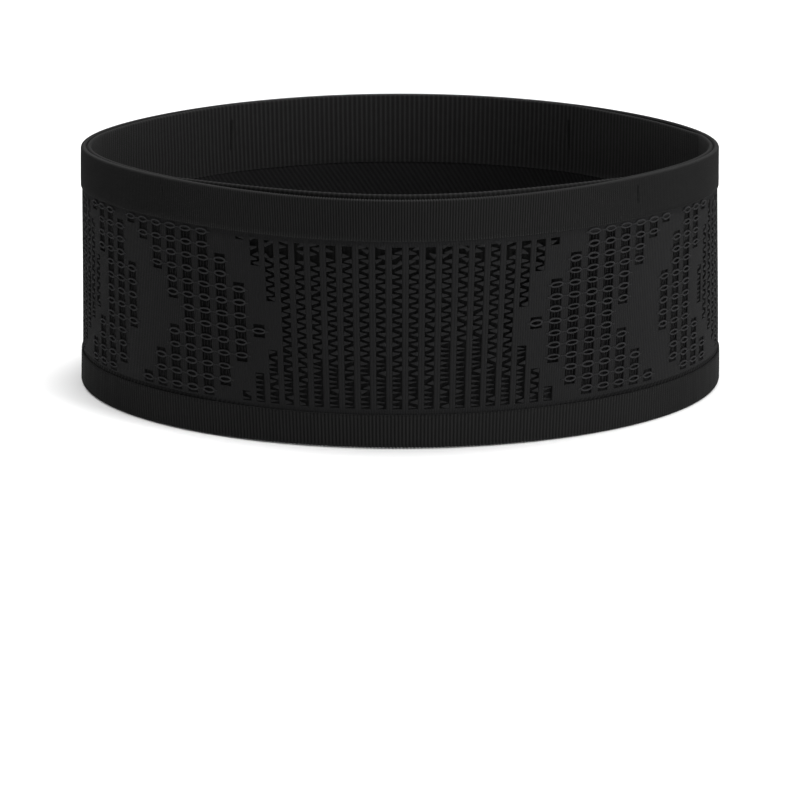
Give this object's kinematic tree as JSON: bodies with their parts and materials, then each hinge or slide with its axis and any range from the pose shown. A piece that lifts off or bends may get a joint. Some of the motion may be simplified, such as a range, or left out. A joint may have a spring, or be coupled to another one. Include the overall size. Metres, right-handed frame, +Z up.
{
  "type": "sports waistband",
  "caption": "Wide black knitted hoop of two layers with an openwork outside, ribbed welts and pocket mouths along its top rim between bartacks.",
  "frame": {"origin": "middle of the hoop, at the height of its bottom edge", "axes": "+Z up through the hoop, front centre at -Y, +X to the right seen from the front"},
  "size_m": [0.2372, 0.2134, 0.0873],
  "materials": {
    "body_knit": "matt openwork knit",
    "welt_knit": "fine vertical rib knit",
    "lining_knit": "slanting rib knit",
    "elastic_yarn": "covered elastane yarn",
    "sewing_thread": "twisted polyester thread"
  },
  "bodies": {
    "root": {"outer_knit_body": "body_knit", "outer_top_welt": "welt_knit", "outer_welt_elastic": "elastic_yarn", "outer_welt_seam_thread": "sewing_thread", "inner_top_band": "welt_knit", "inner_band_elastic": "elastic_yarn", "inner_band_seam_thread": "sewing_thread", "inner_lining": "lining_knit", "bottom_welt": "welt_knit", "bottom_welt_elastic": "elastic_yarn", "bottom_seam_thread": "sewing_thread", "bartack_front_right": "sewing_thread", "bartack_front_left": "sewing_thread", "bartack_back_right": "sewing_thread", "bartack_back_left": "sewing_thread"}
  },
  "joints": []
}
